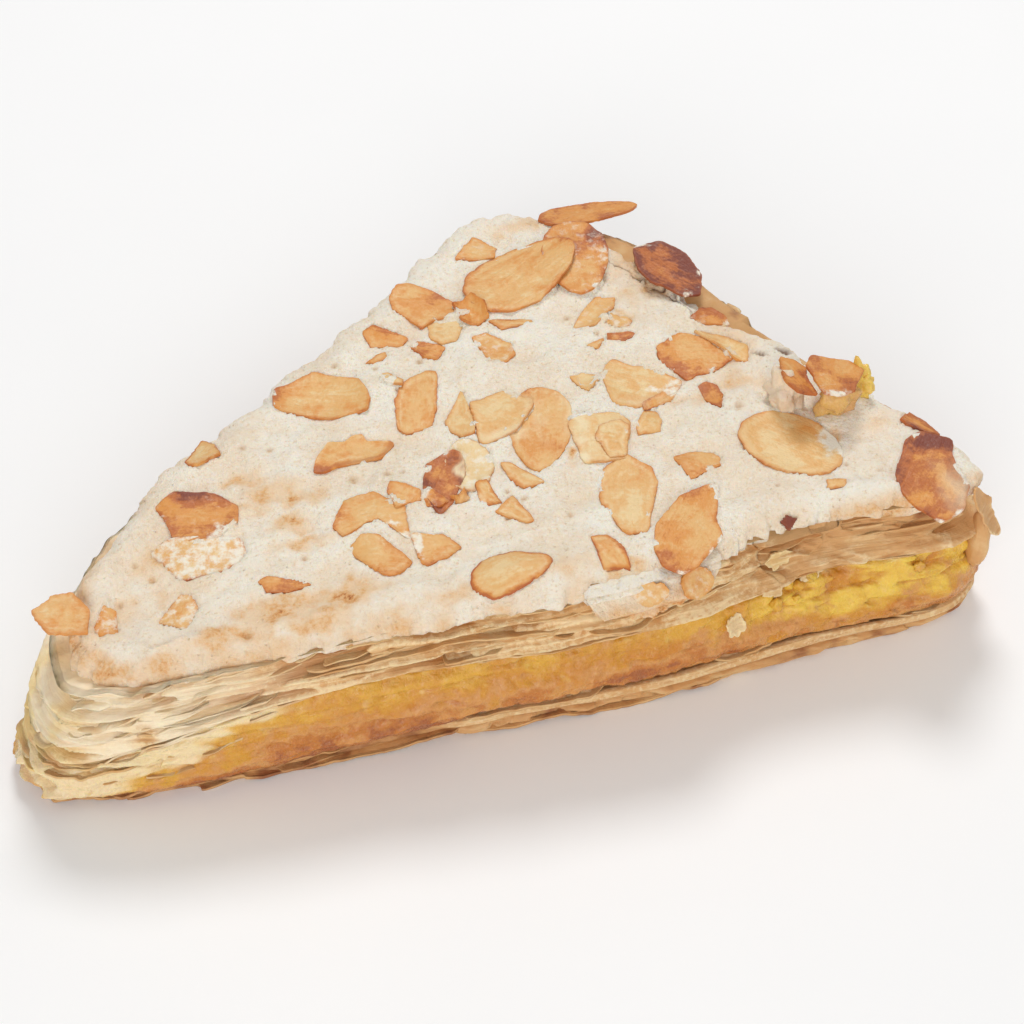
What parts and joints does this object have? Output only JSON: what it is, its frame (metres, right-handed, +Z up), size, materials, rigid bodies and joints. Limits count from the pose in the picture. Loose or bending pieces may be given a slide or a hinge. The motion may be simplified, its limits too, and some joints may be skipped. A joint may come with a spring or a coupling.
{
  "type": "jesuite pastry",
  "caption": "Triangle of puff pastry filled with almond cream, iced with royal icing and scattered with flaked almonds.",
  "frame": {"origin": "middle of the flat underside, under the middle of the whole pastry's box", "axes": "+Z up; +X along the long cut side, from the narrow tip to the wide end; the long cut side faces -Y"},
  "size_m": [0.1528, 0.0933, 0.0375],
  "materials": {
    "crust": "browned, baked skin of the bottom pastry",
    "cream": "moist, grainy almond cream, golden with a browned lower band",
    "pastry": "pale, dry leaves of puff pastry",
    "icing": "dry, finely pitted icing with lightly toasted patches",
    "almond": "toasted almond slices with darker rims"
  },
  "bodies": {
    "root": {"bottom_pastry": "crust", "almond_cream": "cream", "top_pastry": "pastry", "royal_icing": "icing", "cream_lump": "cream", "almond_flake_01": "almond", "almond_flake_02": "almond", "almond_flake_03": "almond", "almond_flake_04": "almond", "almond_flake_05": "almond", "almond_flake_06": "almond", "almond_flake_07": "almond", "almond_flake_08": "almond", "almond_flake_09": "almond", "almond_flake_10": "almond", "almond_flake_11": "almond", "almond_flake_12": "almond", "almond_flake_13": "almond", "almond_flake_14": "almond", "almond_flake_15": "almond", "almond_flake_16": "almond", "almond_flake_17": "almond", "almond_flake_18": "almond", "almond_flake_19": "almond", "almond_flake_20": "almond", "almond_flake_21": "almond", "almond_flake_22": "almond", "almond_flake_23": "almond", "almond_flake_24": "almond", "almond_flake_25": "almond", "almond_flake_26": "almond", "almond_flake_27": "almond", "almond_flake_28": "almond", "almond_flake_29": "almond", "almond_flake_30": "almond", "almond_flake_31": "almond", "almond_flake_32": "almond", "hanging_flake_1": "almond", "hanging_flake_2": "almond"}
  },
  "joints": []
}
